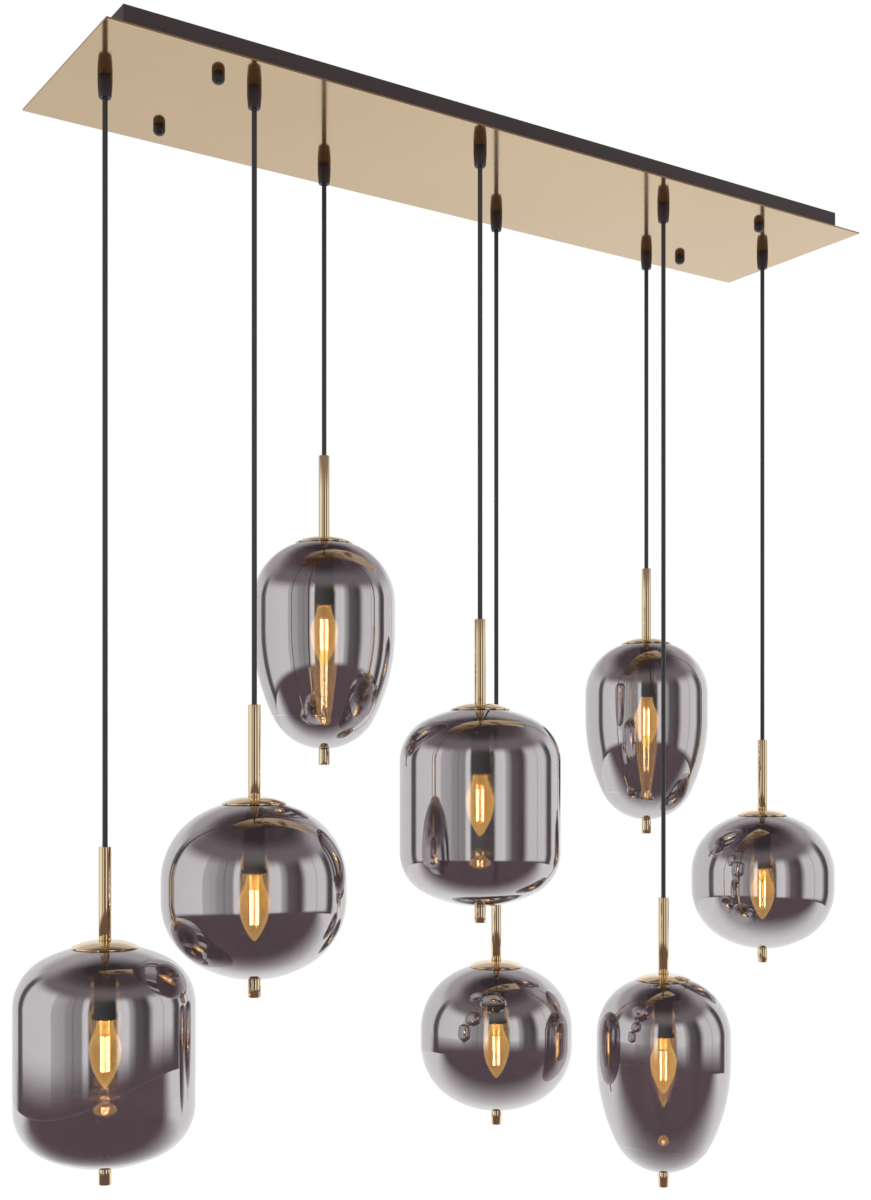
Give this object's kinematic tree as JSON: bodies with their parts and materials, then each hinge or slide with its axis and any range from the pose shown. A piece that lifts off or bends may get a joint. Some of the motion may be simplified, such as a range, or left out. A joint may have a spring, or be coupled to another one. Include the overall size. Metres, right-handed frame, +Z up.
{
  "type": "cluster pendant light",
  "caption": "Linear cluster pendant: smoked glass lanterns, apples and eggs on cords at staggered heights under a long flat brass faceplate",
  "frame": {"origin": "centre of the ceiling face of the canopy, in the plane of the ceiling", "axes": "+Z up into the ceiling, X along the faceplate, -Y toward the side of pendant 2, 4 and 7"},
  "size_m": [1.1945, 0.3625, 1.3262],
  "materials": {
    "plate_brass": "polished",
    "brass": "satin",
    "dark_box": "satin",
    "zinc_steel": "satin",
    "black_plastic": "satin",
    "pale_plastic": "satin",
    "dark_cord": "matte",
    "smoked_glass": "mirror smoked",
    "bulb_glass": "clear, lit"
  },
  "bodies": {
    "canopy": {"faceplate": "plate_brass", "canopy_box": "dark_box", "mounting_bars": "zinc_steel", "mounting_studs": "zinc_steel", "cap_nuts": "black_plastic", "cord_grips": "black_plastic", "grip_lock_nuts": "black_plastic", "grip_screws": "zinc_steel", "terminal_block": "pale_plastic"},
    "cord_1": {"cable_1": "dark_cord"},
    "pendant_1": {"hanger_1": "brass", "shade_1": "smoked_glass", "lampholder_1": "black_plastic", "bulb_1": "bulb_glass", "finial_1": "brass"},
    "cord_2": {"cable_2": "dark_cord"},
    "pendant_2": {"hanger_2": "brass", "shade_2": "smoked_glass", "lampholder_2": "black_plastic", "bulb_2": "bulb_glass", "finial_2": "brass"},
    "cord_3": {"cable_3": "dark_cord"},
    "pendant_3": {"hanger_3": "brass", "shade_3": "smoked_glass", "lampholder_3": "black_plastic", "bulb_3": "bulb_glass", "finial_3": "brass"},
    "cord_4": {"cable_4": "dark_cord"},
    "pendant_4": {"hanger_4": "brass", "shade_4": "smoked_glass", "lampholder_4": "black_plastic", "bulb_4": "bulb_glass", "finial_4": "brass"},
    "cord_5": {"cable_5": "dark_cord"},
    "pendant_5": {"hanger_5": "brass", "shade_5": "smoked_glass", "lampholder_5": "black_plastic", "bulb_5": "bulb_glass", "finial_5": "brass"},
    "cord_6": {"cable_6": "dark_cord"},
    "pendant_6": {"hanger_6": "brass", "shade_6": "smoked_glass", "lampholder_6": "black_plastic", "bulb_6": "bulb_glass", "finial_6": "brass"},
    "cord_7": {"cable_7": "dark_cord"},
    "pendant_7": {"hanger_7": "brass", "shade_7": "smoked_glass", "lampholder_7": "black_plastic", "bulb_7": "bulb_glass", "finial_7": "brass"},
    "cord_8": {"cable_8": "dark_cord"},
    "pendant_8": {"hanger_8": "brass", "shade_8": "smoked_glass", "lampholder_8": "black_plastic", "bulb_8": "bulb_glass", "finial_8": "brass"}
  },
  "joints": [
    {"name": "swing_1", "type": "hinge", "parent": "canopy", "child": "cord_1", "pos_m": [-0.504, -0.00599, -0.054], "axis": [1, 0, 0], "range_deg": [-2, 2]},
    {"name": "drop_1", "type": "slide", "parent": "cord_1", "child": "pendant_1", "axis": [0, 0, 1], "range_m": [-0.1, 0], "deforming": ["cable_1"]},
    {"name": "swing_2", "type": "hinge", "parent": "canopy", "child": "cord_2", "pos_m": [-0.358, -0.07102, -0.054], "axis": [1, 0, 0], "range_deg": [-2, 2]},
    {"name": "drop_2", "type": "slide", "parent": "cord_2", "child": "pendant_2", "axis": [0, 0, 1], "range_m": [0, 0.1], "deforming": ["cable_2"]},
    {"name": "swing_3", "type": "hinge", "parent": "canopy", "child": "cord_3", "pos_m": [-0.189, 0.07395, -0.054], "axis": [1, 0, 0], "range_deg": [-2, 2]},
    {"name": "drop_3", "type": "slide", "parent": "cord_3", "child": "pendant_3", "axis": [0, 0, 1], "range_m": [0, 0.1], "deforming": ["cable_3"]},
    {"name": "swing_4", "type": "hinge", "parent": "canopy", "child": "cord_4", "pos_m": [-0.06, -0.07701, -0.054], "axis": [1, 0, 0], "range_deg": [-2, 2]},
    {"name": "drop_4", "type": "slide", "parent": "cord_4", "child": "pendant_4", "axis": [0, 0, 1], "range_m": [-0.1, 0], "deforming": ["cable_4"]},
    {"name": "swing_5", "type": "hinge", "parent": "canopy", "child": "cord_5", "pos_m": [0.083, 0.08797, -0.054], "axis": [1, 0, 0], "range_deg": [-1, 2]},
    {"name": "drop_5", "type": "slide", "parent": "cord_5", "child": "pendant_5", "axis": [0, 0, 1], "range_m": [-0.1, 0], "deforming": ["cable_5"]},
    {"name": "swing_6", "type": "hinge", "parent": "canopy", "child": "cord_6", "pos_m": [0.354, 0.09397, -0.054], "axis": [1, 0, 0], "range_deg": [-2, 2]},
    {"name": "drop_6", "type": "slide", "parent": "cord_6", "child": "pendant_6", "axis": [0, 0, 1], "range_m": [0, 0.1], "deforming": ["cable_6"]},
    {"name": "swing_7", "type": "hinge", "parent": "canopy", "child": "cord_7", "pos_m": [0.248, -0.06005, -0.054], "axis": [1, 0, 0], "range_deg": [-2, 1]},
    {"name": "drop_7", "type": "slide", "parent": "cord_7", "child": "pendant_7", "axis": [0, 0, 1], "range_m": [-0.1, 0.1], "deforming": ["cable_7"]},
    {"name": "swing_8", "type": "hinge", "parent": "canopy", "child": "cord_8", "pos_m": [0.493, 0.00102, -0.054], "axis": [1, 0, 0], "range_deg": [-2, 2]},
    {"name": "drop_8", "type": "slide", "parent": "cord_8", "child": "pendant_8", "axis": [0, 0, 1], "range_m": [-0.1, 0], "deforming": ["cable_8"]}
  ]
}
